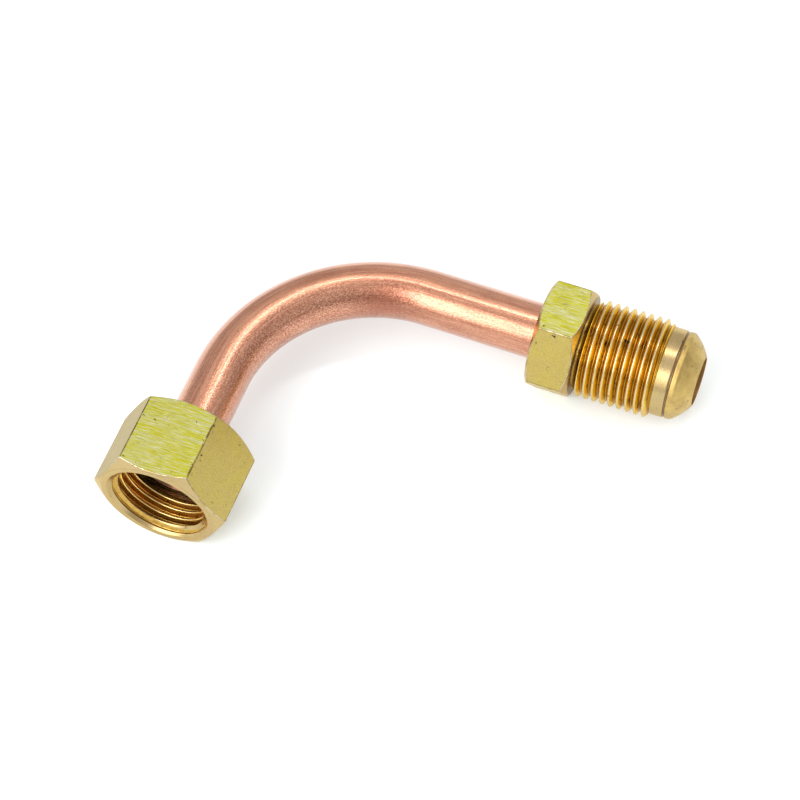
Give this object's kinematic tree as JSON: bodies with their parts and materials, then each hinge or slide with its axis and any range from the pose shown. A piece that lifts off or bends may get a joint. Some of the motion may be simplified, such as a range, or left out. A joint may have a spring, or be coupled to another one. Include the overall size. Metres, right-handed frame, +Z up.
{
  "type": "flare fitting",
  "caption": "Copper pipe bend with a flared end in a brass swivel nut and a ball-nosed end in a brass male nut.",
  "frame": {"origin": "middle of the fitting's footprint, on the surface it lies on", "axes": "+X along the male nut's leg towards the ball nose, -Y along the swivel nut's leg towards its mouth, +Z up"},
  "size_m": [0.107, 0.0794, 0.025],
  "materials": {
    "copper_pipe": null,
    "nut_brass": "machined yellow brass with cutter lines on the flats",
    "nipple_brass": "satin turned brass with small pits",
    "sleeve_brass": "turned brass",
    "washer_steel": "blued spring steel, oiled",
    "braze_alloy": "dull copper-phosphorus braze"
  },
  "bodies": {
    "pipe_assembly": {"bent_pipe": "copper_pipe", "ball_nose_nipple": "nipple_brass", "braze_fillet": "braze_alloy"},
    "sleeve_body": {"flare_sleeve": "sleeve_brass"},
    "swivel_nut_body": {"swivel_nut": "nut_brass"},
    "washer_body": {"slip_washer": "washer_steel"},
    "male_nut_body": {"male_nut": "nut_brass"}
  },
  "joints": [
    {"name": "sleeve_slide", "type": "slide", "parent": "pipe_assembly", "child": "sleeve_body", "axis": [0, 1, 0], "range_m": [0, 0.015]},
    {"name": "swivel_nut_spin", "type": "hinge", "parent": "sleeve_body", "child": "swivel_nut_body", "pos_m": [-0.03908, -0.03075, 0.0125], "axis": [0, -1, 0], "continuous": true},
    {"name": "washer_slide", "type": "slide", "parent": "pipe_assembly", "child": "washer_body", "axis": [-0.9998, 0, 0.0223], "range_m": [0, 0.024]},
    {"name": "male_nut_spin", "type": "hinge", "parent": "washer_body", "child": "male_nut_body", "pos_m": [0.02371, 0.02695, 0.0111], "axis": [0.9998, 0, -0.0223], "continuous": true}
  ]
}
